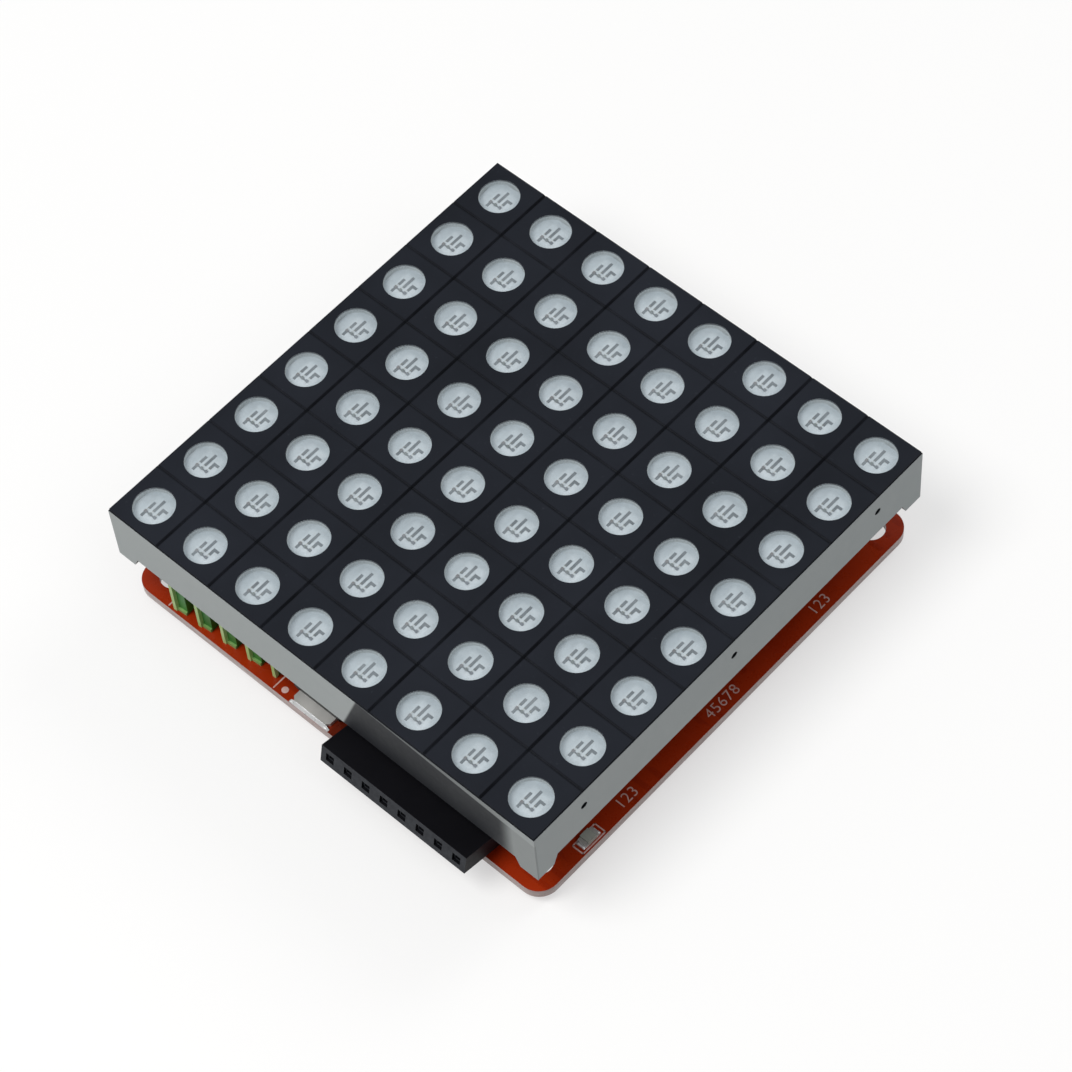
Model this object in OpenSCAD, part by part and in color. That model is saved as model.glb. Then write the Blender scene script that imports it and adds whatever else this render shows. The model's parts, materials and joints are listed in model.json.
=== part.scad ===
// Square LED dot matrix module on its driver board.
// The origin is the centre of the four mounting holes on the board's underside, +Z is up
// through the face. Wires and plugs go in on the -Y side. All sizes are in millimetres.

/* [LED module] */
// Gap left between this module and one set beside it at the same LED pitch
tile_gap = 0.76; // [0.5:0.02:1]
// Depth of the housing's side walls, from the face down
wall_h = 7; // [6.9:0.1:7.4]
// Thickness of the housing's side walls
wall_t = 1.2; // [1:0.1:1.5]
// Height of the corner feet below the side walls
foot_h = 1.4; // [0.8:0.1:1.8]
// Width of a corner foot where it leaves the walls
foot_w = 3; // [2.4:0.1:3.4]
// Amount by which a corner foot narrows towards its tip
foot_draft = 0.6; // [0.2:0.1:1]
// Depth of the potted back below the face
back_depth = 6.7; // [6:0.1:6.8]
// Distance between neighbouring LEDs
led_pitch = 7.62; // [7.3:0.02:7.8]
// Number of LEDs along each side
led_count = 8; // [8:1:9]
// Diameter of an LED's window
window_d = 4.65; // [4.4:0.05:5.4]
// Depth from the face to the LED board
cavity_depth = 0.9; // [0.8:0.05:1.4]
// Depth of the clear filling's top below the face
window_recess = 0.06; // [0.02:0.02:0.2]
// Thickness of the black face
mask_t = 0.3; // [0.25:0.05:0.4]
// Width of the pale step round the black face
mask_inset = 0.1; // [0.05:0.05:0.3]
// Width of the grooves between the columns of windows
column_groove_w = 0.35; // [0.2:0.05:0.8]
// Depth of the grooves between the columns of windows
column_groove_depth = 0.15; // [0.1:0.05:0.2]
// Width of the grooves between the rows of windows
row_groove_w = 0.2; // [0.1:0.05:0.6]
// Depth of the grooves between the rows of windows
row_groove_depth = 0.05; // [0.03:0.01:0.2]
// Diameter of the moulding dimples in the +X wall
dimple_d = 0.9; // [0.6:0.1:1.2]
// Depth of the moulding dimples
dimple_depth = 0.8; // [0.4:0.1:0.9]
// Distance of the moulding dimples below the face
dimple_drop = 2.95; // [2:0.05:4]
// Distance between the moulding dimples
dimple_gap = 22.86; // [18:0.02:25]
// Thickness of the LED board
led_board_t = 1; // [0.8:0.1:1.6]
// Side of a square LED die
die_w = 0.3; // [0.2:0.05:0.35]
// Height of an LED die
die_h = 0.15; // [0.1:0.01:0.2]
// Distance between the dice of one LED
die_gap = 0.67; // [0.5:0.01:0.8]
// Place of the dice along Y, from the middle of the window
die_y = -0.72; // [-0.9:0.02:-0.4]
// Thickness of the traces under the dice
trace_t = 0.05; // [0.03:0.01:0.08]
// Width of the traces in a window
trace_w = 0.32; // [0.2:0.01:0.34]

/* [Module pins and sockets] */
// Distance between the module's two rows of pins
pin_rows_gap = 48.26; // [46:0.02:49.5]
// Distance between the pins of a row
pin_pitch = 2.54; // [2.5:0.01:2.6]
// Number of pins in a row
pin_count = 16; // [8:2:16]
// Diameter of a module pin
module_pin_d = 0.5; // [0.4:0.05:0.55]
// Length of a module pin below the potted back
pin_reach = 4.5; // [3:0.1:5]
// Height of a socket above the board
socket_h = 7; // [6.8:0.1:7.4]
// Width of a socket
socket_w = 2.5; // [2.3:0.1:2.8]
// Thickness of the floor below the socket's contacts
socket_floor = 0.8; // [0.5:0.1:1]
// Thickness of a contact's metal
contact_t = 0.2; // [0.12:0.02:0.22]
// Width of a contact's leaves
contact_w = 0.6; // [0.5:0.05:0.7]
// Length of a solder tail below the board
tail_out = 1.2; // [0.9:0.1:2]

/* [Driver board] */
// Width and length of the square driver board
board_w = 59.4; // [58.8:0.1:60]
// Thickness of the driver board
board_t = 1.2; // [1:0.1:1.6]
// Radius of the board's corners
corner_r = 2.4; // [1:0.1:4]
// Distance between the mounting holes
hole_gap = 53; // [52:0.1:54]
// Diameter of a mounting hole
hole_d = 3.2; // [2.4:0.1:3.4]
// Height of a solder joint below the board
solder_h = 0.75; // [0.5:0.05:0.8]
// Diameter of a solder joint at the board
solder_d = 1.8; // [1.5:0.1:2]

/* [Side header] */
// Number of ways of the side header
header_count = 8; // [4:1:8]
// Length of the side header's body from front to back
header_l = 8.5; // [8:0.1:9]
// Height of the side header's body
header_h = 2.5; // [2.4:0.1:2.8]
// Place of the side header's middle along X
header_x = 12.4; // [11.6:0.1:12.6]
// Place of the front of the side header's foot along Y
header_y = -33.2; // [-34:0.1:-32.8]
// Angle by which the side header's front is raised
header_tilt = 13; // [8:1:14]
// Side of a square contact hole in the side header
header_hole_w = 0.75; // [0.7:0.05:0.85]
// Side of the wider mouth of a contact hole
header_mouth_w = 1.1; // [1:0.05:1.3]
// Depth of the wider mouth
header_mouth_depth = 0.35; // [0.2:0.05:0.6]
// Depth of a contact hole
header_hole_depth = 6.5; // [5:0.1:7]
// Length of the bent tails behind the body
header_tail_l = 1.4; // [1:0.1:1.8]

/* [Terminal block] */
// Number of poles of the terminal block
term_count = 4; // [2:1:4]
// Distance between its poles
term_pitch = 3.5; // [3.4:0.05:3.6]
// Depth of the terminal block from front to back
term_l = 7.2; // [6.8:0.1:7.6]
// Height of the terminal block
term_h = 6.4; // [5.8:0.1:6.5]
// Place of its front left corner along X
term_x = -23.55; // [-23.9:0.05:-23]
// Place of its front left corner along Y
term_y = -29.45; // [-29.6:0.05:-29]
// Angle by which it stands askew on the board
term_skew = 3.8; // [0:0.2:5]
// Width of the narrow fin on the front of each post
fin_w = 0.45; // [0.4:0.05:0.8]
// Distance by which the fin stands proud of its post
fin_proud = 0.4; // [0.1:0.05:0.5]
// Height of the lip at the foot of each post
lip_h = 0.5; // [0.3:0.1:0.8]
// Distance by which the lip stands proud of its post
lip_proud = 0.25; // [0.05:0.05:0.3]
// Width of a wire entry
entry_w = 1.8; // [1.6:0.05:2]
// Distance from the fins to the body behind the posts
post_l = 1.9; // [1.4:0.1:2.2]
// Diameter of a clamp screw's head
screw_d = 2.4; // [2:0.1:2.6]
// Height of a clamp screw's head
screw_h = 1.2; // [0.8:0.1:1.3]
// Depth of a screw's well
well_depth = 1.6; // [1.4:0.1:1.7]
// Diameter of a clamp screw's shank
shank_d = 1.2; // [1:0.1:1.4]
// Length of a clamp screw's shank
shank_l = 1.2; // [0.8:0.1:1.2]
// Width of the slot in a screw's head
slot_w = 0.5; // [0.3:0.05:0.6]
// Depth of the slot in a screw's head
slot_depth = 0.4; // [0.3:0.05:0.6]
// Height of a wire entry
entry_h = 3.4; // [3:0.1:3.6]
// Height of a wire entry above the board
entry_z = 0.6; // [0.4:0.1:0.7]
// Length of a brass clamp
clamp_l = 2.6; // [2:0.1:3]
// Height of a brass clamp
clamp_h = 2.9; // [2.5:0.1:3]
// Thickness of a brass clamp's metal
clamp_t = 0.3; // [0.2:0.05:0.4]
// Side of a terminal's square pin
term_pin_w = 0.8; // [0.6:0.05:0.9]

/* [Regulator and status LED] */
// Place of the regulator's middle along X
reg_x = -3.3; // [-3.6:0.1:-2.8]
// Place of the front of the regulator's tab along Y
reg_y = -29.35; // [-29.5:0.05:-28.8]
// Width of the regulator's body
reg_w = 6.5; // [6:0.1:6.8]
// Length of the regulator's body
reg_l = 6.1; // [5.8:0.1:6.3]
// Height of the regulator's body
reg_h = 2.3; // [2:0.1:2.5]
// Width of the regulator's metal tab
tab_w = 5.3; // [5:0.1:5.6]
// Length of the tab in front of the body
tab_l = 1.1; // [0.8:0.1:1.6]
// Thickness of the tab
tab_t = 0.5; // [0.4:0.05:0.6]
// Distance from the regulator's middle to each of its two leads
reg_lead_x = 2.28; // [2:0.02:2.4]
// Width of a regulator lead
reg_lead_w = 0.8; // [0.6:0.05:0.9]
// Length of a regulator lead behind the body
reg_lead_l = 2.7; // [2.2:0.1:3]
// Place of the status LED along X
status_x = 28.65; // [28.4:0.05:28.8]
// Place of the status LED along Y
status_y = -21.3; // [-21.8:0.1:-20.8]

/* [Parts under the module] */
// Width and length of the microcontroller's body
mcu_w = 7; // [6.5:0.1:7]
// Height of the microcontroller's body
mcu_h = 1; // [0.9:0.1:1.4]
// Distance between the microcontroller's leads
mcu_pitch = 0.8; // [0.75:0.01:0.8]
// Width of a microcontroller lead
mcu_lead_w = 0.35; // [0.3:0.01:0.4]
// Length of a microcontroller lead
mcu_lead_l = 1; // [0.8:0.05:1.1]
// Width of a column driver's body
sink_w = 3.9; // [3.7:0.1:4.4]
// Length of a column driver's body
sink_l = 8.7; // [8.6:0.1:9.4]
// Height of a column driver's body
sink_h = 1.5; // [1.3:0.1:1.8]
// Distance between the column drivers
sink_gap = 9.5; // [8.5:0.1:10]
// Distance between a column driver's leads
sink_pitch = 0.635; // [0.6:0.005:0.65]
// Width of a column driver's lead
sink_lead_w = 0.25; // [0.2:0.01:0.3]
// Length of a column driver's lead
sink_lead_l = 1.05; // [0.8:0.05:1.2]
// Width of a row driver's body
source_w = 7.5; // [7:0.1:7.6]
// Length of a row driver's body
source_l = 11.6; // [11.4:0.1:12]
// Height of a row driver's body
source_h = 2.3; // [2:0.1:2.6]
// Distance between a row driver's leads
source_pitch = 1.27; // [1.2:0.01:1.3]
// Width of a row driver's lead
source_lead_w = 0.4; // [0.3:0.05:0.5]
// Length of a row driver's lead
source_lead_l = 1.4; // [1:0.1:1.5]
// Space left between a chip part and the body beside it
part_space = 1.9; // [1.5:0.1:2.2]
// Distance between chip resistors that stand in a row
chip_row_gap = 3.5; // [2.5:0.1:3.8]
// Diameter of a storage capacitor's can
can_d = 6.3; // [5:0.1:6.3]
// Height of a storage capacitor's can
can_h = 4.9; // [4:0.1:5]
// Length of the crystal's case
crystal_l = 11.4; // [10:0.1:11.8]
// Width of the crystal's case
crystal_w = 4.7; // [4.2:0.1:4.9]
// Height of the crystal's case
crystal_h = 3.5; // [3:0.1:4]
// Length of a chip resistor or chip capacitor
chip_l = 2; // [1.6:0.1:2.2]
// Width of a chip resistor or chip capacitor
chip_w = 1.25; // [0.8:0.05:1.3]
// Length of the metal end of a chip
chip_end = 0.4; // [0.25:0.05:0.5]

/* [Clearances] */
// Gap between a piece and the pocket or hole that holds it
fit_gap = 0.03; // [0.02:0.01:0.05]
// Gap between the module's back and the sockets
seat_gap = 0.05; // [0.02:0.01:0.1]
// Gap between a body and the board below it
body_gap = 0.1; // [0.05:0.01:0.15]
// Gap round a tail in its hole in the board
hole_clear = 0.12; // [0.08:0.01:0.18]

/* [Hidden] */
$fn = 48;

module_w = led_count * led_pitch - tile_gap;
board_top = board_t;
back_z = board_top + socket_h + seat_gap;
face_z = back_z + back_depth;
wall_bottom = face_z - wall_h;
mask_bottom = face_z - mask_t;
led_board_top = face_z - cavity_depth;
pocket_w = module_w - 2 * wall_t;
row_x = pin_rows_gap / 2;
tail_t = contact_w / 2;
// Small length by which a cut runs past the surface that it opens
cut = 0.5;

function spread(i, count, gap) = (i - (count - 1) / 2) * gap;

// Places of the parts under the module, from its middle out to the sockets
sink_x = -row_x / 5;
sink_y = row_x / 5;
source_x = row_x * 0.65;
source_ys = [row_x * 0.4, -row_x * 0.3];
mcu_pos = [row_x / 8, -row_x * 0.4];
crystal_pos = [-row_x * 0.4, -row_x * 0.65];
can_pos = [[-row_x * 0.7, -row_x * 0.3], [-row_x * 0.7, row_x * 0.7]];
header_rear_y = header_y + header_l * cos(header_tilt);
header_tail_y = header_rear_y + header_tail_l * cos(header_tilt);

// Runs its children once at each LED's centre
module each_led() {
    for (i = [0 : led_count - 1], j = [0 : led_count - 1])
        translate([spread(i, led_count, led_pitch), spread(j, led_count, led_pitch), 0]) children();
}

// Runs its children once at each pin of one of the module's rows
module each_pin(side) {
    for (i = [0 : pin_count - 1])
        translate([side * row_x, spread(i, pin_count, pin_pitch), 0]) children();
}

// Runs its children at each way of the side header, in the board's frame
module each_header_tail() {
    for (i = [0 : header_count - 1])
        translate([header_x + spread(i, header_count, pin_pitch), header_tail_y, 0]) children();
}

// Puts its children in the terminal block's own frame, at its front left corner
module on_terminal() {
    translate([term_x, term_y, board_top]) rotate([0, 0, term_skew]) children();
}

// Runs its children at the clamp of each pole, in the terminal block's own frame
module each_pole() {
    for (i = [0 : term_count - 1])
        translate([(i + 1) * term_pitch - entry_w / 2, (post_l + term_l) / 2, 0]) children();
}

// A box that is centred in X and Y and stands on z = 0
module block(w, l, h) {
    translate([-w / 2, -l / 2, 0]) cube([w, l, h]);
}

// A long groove with a V section, centred on the face and running along Y
module v_groove(w, depth, l) {
    rotate([90, 0, 0]) linear_extrude(height = l, center = true)
        polygon([[-w / 2 - w * cut / depth / 2, cut], [w / 2 + w * cut / depth / 2, cut], [0, -depth]]);
}

// One flank of a corner foot, seen along an axis and run along it
module foot_wedge() {
    rotate([90, 0, 0]) linear_extrude(height = foot_w)
        polygon([[0, cut], [foot_w, cut], [foot_w, 0], [foot_w - foot_draft, -foot_h], [0, -foot_h]]);
}

// The foot at the corner towards -X and -Y
module corner_foot() {
    translate([-module_w / 2, -module_w / 2, wall_bottom]) intersection() {
        translate([0, foot_w, 0]) foot_wedge();
        mirror([1, -1, 0]) translate([0, foot_w, 0]) foot_wedge();
    }
}

module matrix_housing() {
    color([0.8, 0.82, 0.83]) difference() {
        union() {
            translate([0, 0, wall_bottom]) block(module_w, module_w, wall_h - mask_t);
            for (sx = [0, 1], sy = [0, 1]) mirror([sx, 0, 0]) mirror([0, sy, 0]) corner_foot();
        }
        translate([0, 0, wall_bottom - foot_h - cut])
            block(pocket_w, pocket_w, led_board_top - wall_bottom + foot_h + cut);
        each_led() translate([0, 0, led_board_top - cut]) cylinder(h = cavity_depth + cut, d = window_d);
        for (i = [-1, 0, 1])
            translate([module_w / 2 - dimple_depth, i * dimple_gap, face_z - dimple_drop])
                rotate([0, 90, 0]) cylinder(h = dimple_depth + cut, d = dimple_d);
    }
}

module face_mask() {
    mask_w = module_w - 2 * mask_inset;
    color([0.13, 0.14, 0.17]) difference() {
        translate([0, 0, mask_bottom]) block(mask_w, mask_w, mask_t);
        each_led() translate([0, 0, mask_bottom - cut]) cylinder(h = mask_t + 2 * cut, d = window_d);
        for (i = [0 : led_count - 2]) {
            translate([spread(i, led_count - 1, led_pitch), 0, face_z])
                v_groove(column_groove_w, column_groove_depth, module_w + 2 * cut);
            translate([0, spread(i, led_count - 1, led_pitch), face_z]) rotate([0, 0, 90])
                v_groove(row_groove_w, row_groove_depth, module_w + 2 * cut);
        }
    }
}

module window_row(j) {
    filling_bottom = led_board_top + trace_t + die_h + fit_gap;
    color([0.75, 0.8, 0.84]) for (i = [0 : led_count - 1])
        translate([spread(i, led_count, led_pitch), spread(j - 1, led_count, led_pitch), filling_bottom])
            cylinder(h = face_z - window_recess - filling_bottom, d = window_d);
}

// The traces of one LED, drawn flat: a bar of three pads with a tail, and three strips behind it
module led_trace_set() {
    strip_y = die_y + die_w / 2 + 0.32;
    short_l = 0.94;
    long_l = 1.72;
    hook_l = 0.62;
    tail_l = 0.7;
    for (k = [-1, 0, 1]) translate([k * die_gap, die_y]) square(die_w, center = true);
    translate([0, die_y]) square([2 * die_gap, trace_w / 2], center = true);
    translate([-die_gap - trace_w / 2, die_y - tail_l]) square([trace_w, tail_l]);
    for (k = [-1, 1]) translate([k * die_gap - trace_w / 2, strip_y]) square([trace_w, short_l]);
    translate([-trace_w / 2, strip_y]) square([trace_w, long_l]);
    translate([die_gap, strip_y + short_l - trace_w]) square([hook_l, trace_w]);
}

module led_traces() {
    color([0.3, 0.33, 0.36]) each_led() translate([0, 0, led_board_top])
        linear_extrude(height = trace_t) led_trace_set();
}

// The dice of one colour, on the pad at the given place of each LED
module led_dice(place, tint) {
    color(tint) each_led() translate([place * die_gap, die_y, led_board_top + trace_t])
        block(die_w, die_w, die_h);
}

module led_board() {
    color([0.85, 0.86, 0.84]) difference() {
        translate([0, 0, led_board_top - led_board_t])
            block(pocket_w - 2 * fit_gap, pocket_w - 2 * fit_gap, led_board_t);
        for (side = [-1, 1]) each_pin(side) translate([0, 0, led_board_top - led_board_t - cut])
            cylinder(h = led_board_t + 2 * cut, d = module_pin_d + 2 * fit_gap);
    }
}

module potting() {
    color([0.78, 0.78, 0.74]) difference() {
        translate([0, 0, back_z])
            block(pocket_w - 2 * fit_gap, pocket_w - 2 * fit_gap, led_board_top - led_board_t - back_z);
        for (side = [-1, 1]) each_pin(side) translate([0, 0, back_z - cut])
            cylinder(h = back_depth, d = module_pin_d + 2 * fit_gap);
    }
}

module module_pins(side) {
    color([0.8, 0.8, 0.78]) each_pin(side) translate([0, 0, back_z - pin_reach])
        cylinder(h = led_board_top - back_z + pin_reach, d = module_pin_d);
}

module driver_board() {
    color([0.62, 0.12, 0.05]) difference() {
        linear_extrude(height = board_t) union() {
            square([board_w - 2 * corner_r, board_w], center = true);
            square([board_w, board_w - 2 * corner_r], center = true);
            for (sx = [-1, 1], sy = [-1, 1])
                translate([sx, sy] * (board_w / 2 - corner_r)) circle(r = corner_r);
        }
        for (sx = [-1, 1], sy = [-1, 1]) translate([sx * hole_gap / 2, sy * hole_gap / 2, -cut])
            cylinder(h = board_t + 2 * cut, d = hole_d);
        tail_hole_d = norm([contact_w, tail_t]) + 2 * hole_clear;
        for (side = [-1, 1]) each_pin(side) translate([0, 0, -cut])
            cylinder(h = board_t + 2 * cut, d = tail_hole_d);
        each_header_tail() translate([0, 0, -cut]) cylinder(h = board_t + 2 * cut, d = tail_hole_d);
        on_terminal() each_pole() translate([0, 0, -board_t - cut])
            cylinder(h = board_t + 2 * cut, d = term_pin_w * sqrt(2) + 2 * hole_clear);
    }
}

module socket(side) {
    pocket_x = module_pin_d + 2 * contact_t + 6 * fit_gap;
    color([0.1, 0.1, 0.11]) difference() {
        translate([side * row_x, 0, board_top]) block(socket_w, pin_count * pin_pitch, socket_h);
        each_pin(side) {
            translate([0, 0, board_top + socket_floor])
                block(pocket_x, contact_w + 2 * fit_gap, socket_h);
            translate([0, 0, board_top - cut])
                block(contact_w + 2 * fit_gap, tail_t + 2 * fit_gap, socket_floor + 2 * cut);
        }
    }
}

// The solder tail of a contact, from a given height down through the board
module tail(top) {
    translate([0, 0, -tail_out]) block(contact_w, tail_t, top + tail_out);
}

module socket_contacts(side) {
    leaf_x = module_pin_d / 2 + fit_gap;
    floor_z = board_top + socket_floor;
    leaf_h = socket_h - socket_floor - 1;
    color([0.85, 0.8, 0.6]) each_pin(side) {
        for (s = [-1, 1]) translate([s * (leaf_x + contact_t / 2), 0, floor_z])
            block(contact_t, contact_w, leaf_h);
        translate([0, 0, floor_z]) block(2 * (leaf_x + contact_t), contact_w, contact_t);
        tail(floor_z + contact_t / 2);
    }
}

// Puts its children in the tilted frame of the side header: y = 0 is its front, z = 0 its underside
module on_header() {
    translate([header_x, header_rear_y, board_top]) rotate([-header_tilt, 0, 0])
        translate([0, -header_l, 0]) children();
}

module side_header() {
    color([0.08, 0.08, 0.09]) on_header() difference() {
        translate([0, header_l / 2, 0]) block(header_count * pin_pitch, header_l, header_h);
        for (i = [0 : header_count - 1]) translate([spread(i, header_count, pin_pitch), 0, header_h / 2]) {
            rotate([-90, 0, 0]) translate([0, 0, -cut])
                block(header_hole_w, header_hole_w, header_hole_depth + cut);
            rotate([-90, 0, 0]) translate([0, 0, -cut])
                block(header_mouth_w, header_mouth_w, header_mouth_depth + cut);
            rotate([-90, 0, 0]) block(contact_w + 2 * fit_gap, tail_t + 2 * fit_gap, header_l + cut);
        }
    }
}

module header_contacts() {
    blade_t = 0.1;
    blade_l = header_hole_depth - header_mouth_depth - 1.5;
    color([0.85, 0.8, 0.6]) {
        for (i = [0 : header_count - 1]) {
            on_header() translate([spread(i, header_count, pin_pitch), 0, header_h / 2])
                rotate([-90, 0, 0]) {
                    for (s = [-1, 1])
                        translate([0, s * (header_hole_w / 2 - fit_gap - blade_t / 2),
                                   header_hole_depth - blade_l])
                            block(contact_w, blade_t, blade_l);
                    translate([0, 0, header_hole_depth - contact_t])
                        block(contact_w, header_hole_w - 2 * fit_gap, contact_t);
                    translate([0, 0, header_hole_depth - contact_t])
                        block(contact_w, tail_t, header_l - header_hole_depth + contact_t
                              + header_tail_l + tail_t / 2);
                }
        }
        each_header_tail() tail(board_top + header_h / 2 * cos(header_tilt)
                                - header_tail_l * sin(header_tilt) + tail_t / 2);
    }
}

module terminal_block() {
    body_w = term_count * term_pitch + fin_w;
    post_w = term_pitch - entry_w;
    color([0.1, 0.5, 0.2]) on_terminal() difference() {
        union() {
            translate([0, post_l, 0]) cube([body_w, term_l - post_l, term_h]);
            for (i = [0 : term_count]) translate([i * term_pitch, 0, 0]) cube([fin_w, post_l + cut, term_h]);
            for (i = [0 : term_count - 1]) translate([i * term_pitch, 0, 0]) {
                translate([0, fin_proud, 0]) cube([post_w, post_l, term_h]);
                translate([0, fin_proud - lip_proud, 0]) cube([post_w, post_l, lip_h]);
            }
        }
        each_pole() {
            translate([-entry_w / 2, -(term_l - post_l) / 2 - cut, entry_z])
                cube([entry_w, term_l - post_l - 1 + cut, entry_h]);
            translate([0, 0, term_h - well_depth]) cylinder(h = well_depth + cut, d = screw_d + 0.2);
            translate([0, 0, entry_z]) cylinder(h = term_h, d = shank_d + 2 * fit_gap);
            translate([0, 0, -cut])
                block(term_pin_w + 2 * fit_gap, term_pin_w + 2 * fit_gap, entry_z + 2 * cut);
        }
    }
}

module terminal_screws() {
    head_z = term_h - well_depth;
    color([0.78, 0.78, 0.76]) on_terminal() each_pole() difference() {
        union() {
            translate([0, 0, head_z]) cylinder(h = screw_h, d = screw_d);
            translate([0, 0, head_z - shank_l]) cylinder(h = shank_l + screw_h / 2, d = shank_d);
        }
        translate([0, 0, head_z + screw_h - slot_depth]) block(screw_d + cut, slot_w, slot_depth + cut);
    }
}

module terminal_clamps() {
    clamp_w = entry_w - 2 * fit_gap;
    color([0.7, 0.68, 0.6]) on_terminal() each_pole() {
        difference() {
            translate([0, 0, entry_z]) block(clamp_w, clamp_l, clamp_h);
            translate([0, 0, entry_z + clamp_t])
                block(clamp_w - 2 * clamp_t, clamp_l + 2 * cut, clamp_h - 2 * clamp_t);
            translate([0, 0, clamp_h / 2]) cylinder(h = clamp_h, d = shank_d + 2 * fit_gap);
        }
        translate([0, 0, -board_t - tail_out])
            block(term_pin_w, term_pin_w, board_t + tail_out + entry_z + clamp_t / 2);
    }
}

// A gull-wing lead that points along +Y from y = 0, with its foot on z = 0
module gull_lead(w, rise, reach) {
    metal = 0.15;
    foot = reach * 0.45;
    rotate([90, 0, 90]) linear_extrude(height = w, center = true)
        polygon([[0, rise], [reach - foot, rise], [reach - foot, metal], [reach, metal], [reach, 0],
                 [reach - foot - metal, 0], [reach - foot - metal, rise - metal], [0, rise - metal]]);
}

// A moulded chip package: a block whose upper and lower halves lean in from the parting line
module package(w, l, h) {
    lean = 0.12 * h;
    translate([0, 0, body_gap]) intersection() {
        rotate([90, 0, 0]) linear_extrude(height = l, center = true) package_section(w, h, lean);
        rotate([90, 0, 90]) linear_extrude(height = w, center = true) package_section(l, h, lean);
    }
}

module package_section(w, h, lean) {
    polygon([[-w / 2 + lean, 0], [w / 2 - lean, 0], [w / 2, h / 2], [w / 2 - lean, h],
             [-w / 2 + lean, h], [-w / 2, h / 2]]);
}

// Two rows of gull-wing leads along a package that is w wide
module lead_rows(w, h, count, pitch, lead_w, reach) {
    for (turn = [0, 180], i = [0 : count - 1]) rotate([0, 0, turn])
        translate([w / 2, spread(i, count, pitch), 0]) rotate([0, 0, -90])
            gull_lead(lead_w, body_gap + h / 2, reach);
}

// Puts its children on the regulator's place, with y = 0 at the front of the tab
module on_regulator() {
    translate([reg_x, reg_y, board_top]) children();
}

module regulator_body() {
    color([0.12, 0.12, 0.13]) on_regulator() difference() {
        translate([0, tab_l + reg_l / 2, -body_gap]) package(reg_w, reg_l, reg_h);
        translate([0, tab_l, -cut]) block(tab_w + 2 * fit_gap, 2 * reg_l - 3, tab_t + fit_gap + cut);
        translate([0, tab_l + reg_l, 0]) regulator_lead_slots();
    }
}

module regulator_lead_slots() {
    for (s = [-1, 1]) translate([s * reg_lead_x, 0, reg_h / 2 - tab_t])
        block(reg_lead_w + 2 * fit_gap, 1, tab_t + 2 * fit_gap);
}

module regulator_tab() {
    color([0.85, 0.85, 0.85]) on_regulator() linear_extrude(height = tab_t)
        polygon([[-tab_w / 2 + 0.4, 0], [tab_w / 2 - 0.4, 0], [tab_w / 2, 0.4],
                 [tab_w / 2, tab_l + reg_l - 1.6], [-tab_w / 2, tab_l + reg_l - 1.6], [-tab_w / 2, 0.4]]);
}

module regulator_leads() {
    color([0.8, 0.8, 0.8]) on_regulator() translate([0, tab_l + reg_l, 0]) for (s = [-1, 1])
        translate([s * reg_lead_x, 0, 0]) rotate([90, 0, 90])
            linear_extrude(height = reg_lead_w, center = true)
                polygon([[-0.4, reg_h / 2 - tab_t + fit_gap], [-0.4, reg_h / 2],
                         [reg_lead_l / 2, reg_h / 2], [reg_lead_l / 2, tab_t], [reg_lead_l, tab_t],
                         [reg_lead_l, 0], [reg_lead_l / 2 - tab_t, 0],
                         [reg_lead_l / 2 - tab_t, reg_h / 2 - tab_t + fit_gap]]);
}

// A chip part along Y: its ends, or the body between them
module chip_part(h, ends) {
    if (ends) {
        for (s = [-1, 1]) translate([0, s * (chip_l - chip_end) / 2, 0]) block(chip_w, chip_end, h);
    } else {
        block(chip_w, chip_l - 2 * chip_end, h);
    }
}

module on_status() {
    translate([status_x, status_y, board_top]) children();
}

module status_led_body() {
    color([0.8, 0.8, 0.75]) on_status() chip_part(0.7, false);
}

module status_led_ends() {
    color([0.8, 0.75, 0.5]) on_status() chip_part(0.35, true);
}

module microcontroller() {
    color([0.12, 0.12, 0.13]) translate([mcu_pos.x, mcu_pos.y, board_top]) package(mcu_w, mcu_w, mcu_h);
}

module microcontroller_leads() {
    color([0.8, 0.8, 0.8]) translate([mcu_pos.x, mcu_pos.y, board_top]) for (turn = [0, 90])
        rotate([0, 0, turn]) lead_rows(mcu_w, mcu_h, 8, mcu_pitch, mcu_lead_w, mcu_lead_l);
}

module each_sink() {
    for (i = [-1, 0, 1]) translate([sink_x + i * sink_gap, sink_y, board_top]) children();
}

module column_drivers() {
    color([0.12, 0.12, 0.13]) each_sink() package(sink_w, sink_l, sink_h);
}

module column_driver_leads() {
    color([0.8, 0.8, 0.8]) each_sink() lead_rows(sink_w, sink_h, 12, sink_pitch, sink_lead_w, sink_lead_l);
}

module each_source() {
    for (y = source_ys) translate([source_x, y, board_top]) children();
}

module row_drivers() {
    color([0.12, 0.12, 0.13]) each_source() package(source_w, source_l, source_h);
}

module row_driver_leads() {
    color([0.8, 0.8, 0.8]) each_source()
        lead_rows(source_w, source_h, 9, source_pitch, source_lead_w, source_lead_l);
}

module capacitor_bases() {
    base_w = can_d + 0.3;
    bevel = 1.2;
    color([0.1, 0.1, 0.1]) for (p = can_pos) translate([p.x, p.y, board_top]) difference() {
        linear_extrude(height = 1) polygon([[-base_w / 2, -base_w / 2], [base_w / 2, -base_w / 2],
            [base_w / 2, base_w / 2 - bevel], [base_w / 2 - bevel, base_w / 2],
            [bevel - base_w / 2, base_w / 2], [-base_w / 2, base_w / 2 - bevel]]);
        translate([0, 0, 0.5]) cylinder(h = 1, d = can_d + 2 * fit_gap);
    }
}

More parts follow.
